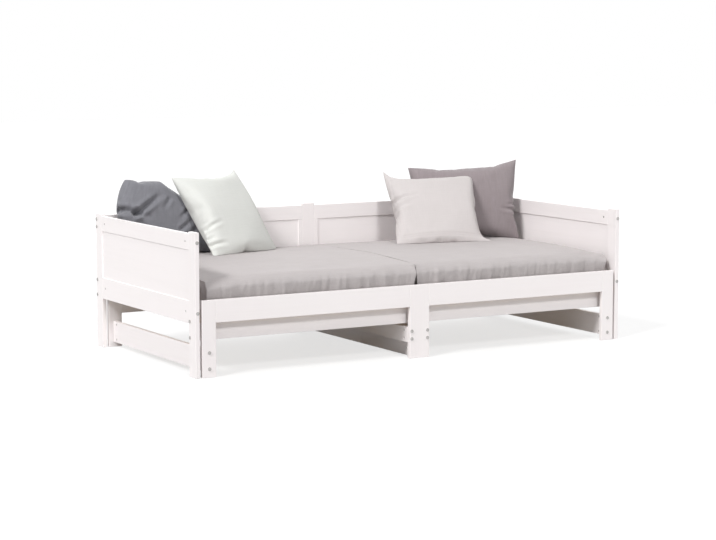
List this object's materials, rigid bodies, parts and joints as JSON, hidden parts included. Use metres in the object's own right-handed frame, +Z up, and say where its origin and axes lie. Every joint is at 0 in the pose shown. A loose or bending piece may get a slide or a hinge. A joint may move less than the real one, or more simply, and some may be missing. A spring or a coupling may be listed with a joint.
{
  "type": "pull-out daybed",
  "caption": "Painted pine daybed with panelled ends and back, a slatted frame that draws out at the front, mattress halves and loose pillows.",
  "frame": {"origin": "on the floor, under the middle of the closed daybed", "axes": "+X along the bed to the right end as seen from the front, +Y to the back panels, +Z up"},
  "size_m": [2.055, 0.978, 0.727],
  "materials": {
    "white_painted_pine": "satin white paint",
    "bare_pine": "planed, unpainted",
    "beech_dowel": "plain",
    "zinc_plated_steel": "zinc plated",
    "grey_linen_cover": "light grey slub weave",
    "dark_grey_cover": "dark grey, short pile",
    "silver_green_cover": "pale silver green, smooth",
    "taupe_cover": "taupe, short pile",
    "off_white_cover": "off-white plain weave"
  },
  "bodies": {
    "daybed_frame": {"back_centre_post": "white_painted_pine", "centre_foot_rail": "white_painted_pine", "fixed_slat_screws": "zinc_plated_steel", "fixed_slats": "bare_pine", "frame_barrel_nuts": "zinc_plated_steel", "frame_dowels": "beech_dowel", "front_beam": "white_painted_pine", "front_beam_leg": "white_painted_pine", "left_back_lower_rail": "white_painted_pine", "left_back_panel": "white_painted_pine", "left_back_stile": "white_painted_pine", "left_back_top_rail": "white_painted_pine", "left_end_lower_rail": "white_painted_pine", "left_end_panel": "white_painted_pine", "left_end_top_rail": "white_painted_pine", "left_front_post": "white_painted_pine", "left_rear_post": "white_painted_pine", "long_bolts": "zinc_plated_steel", "rear_slat_batten": "bare_pine", "right_back_lower_rail": "white_painted_pine", "right_back_panel": "white_painted_pine", "right_back_stile": "white_painted_pine", "right_back_top_rail": "white_painted_pine", "right_end_lower_rail": "white_painted_pine", "right_end_panel": "white_painted_pine", "right_end_top_rail": "white_painted_pine", "right_front_post": "white_painted_pine", "right_rear_post": "white_painted_pine", "short_bolts": "zinc_plated_steel"},
    "pullout_frame": {"pullout_barrel_nuts": "zinc_plated_steel", "pullout_bolts": "zinc_plated_steel", "pullout_centre_leg": "white_painted_pine", "pullout_dowels": "beech_dowel", "pullout_left_centre_rear_leg": "white_painted_pine", "pullout_left_centre_stretcher": "white_painted_pine", "pullout_left_front_rail": "white_painted_pine", "pullout_left_leg": "white_painted_pine", "pullout_left_rear_leg": "white_painted_pine", "pullout_left_stretcher": "white_painted_pine", "pullout_rear_rail": "white_painted_pine", "pullout_right_centre_rear_leg": "white_painted_pine", "pullout_right_centre_stretcher": "white_painted_pine", "pullout_right_front_rail": "white_painted_pine", "pullout_right_leg": "white_painted_pine", "pullout_right_rear_leg": "white_painted_pine", "pullout_right_stretcher": "white_painted_pine", "pullout_slat_batten": "bare_pine", "pullout_slat_screws": "zinc_plated_steel", "pullout_slats": "bare_pine"},
    "left_mattress_half": {"left_mattress": "grey_linen_cover"},
    "right_mattress_half": {"right_mattress": "grey_linen_cover"},
    "left_rear_cushion": {"left_rear_pillow": "dark_grey_cover"},
    "left_front_cushion": {"left_front_pillow": "silver_green_cover"},
    "right_rear_cushion": {"right_rear_pillow": "taupe_cover"},
    "right_front_cushion": {"right_front_pillow": "off_white_cover"}
  },
  "joints": [
    {"name": "pullout_slide", "type": "slide", "parent": "daybed_frame", "child": "pullout_frame", "axis": [0, -1, 0], "range_m": [0, 0.85]},
    {"name": "left_mattress_lift", "type": "slide", "parent": "daybed_frame", "child": "left_mattress_half", "axis": [0, 0, 1], "range_m": [0, 0.25]},
    {"name": "right_mattress_lift", "type": "slide", "parent": "daybed_frame", "child": "right_mattress_half", "axis": [0, 0, 1], "range_m": [0, 0.25]},
    {"name": "left_rear_pillow_lift", "type": "slide", "parent": "left_mattress_half", "child": "left_rear_cushion", "axis": [0, 0, 1], "range_m": [0, 0.3]},
    {"name": "left_front_pillow_lift", "type": "slide", "parent": "left_rear_cushion", "child": "left_front_cushion", "axis": [0, 0, 1], "range_m": [0, 0.3]},
    {"name": "right_rear_pillow_lift", "type": "slide", "parent": "right_mattress_half", "child": "right_rear_cushion", "axis": [0, 0, 1], "range_m": [0, 0.3]},
    {"name": "right_front_pillow_lift", "type": "slide", "parent": "right_rear_cushion", "child": "right_front_cushion", "axis": [0, 0, 1], "range_m": [0, 0.3]}
  ]
}
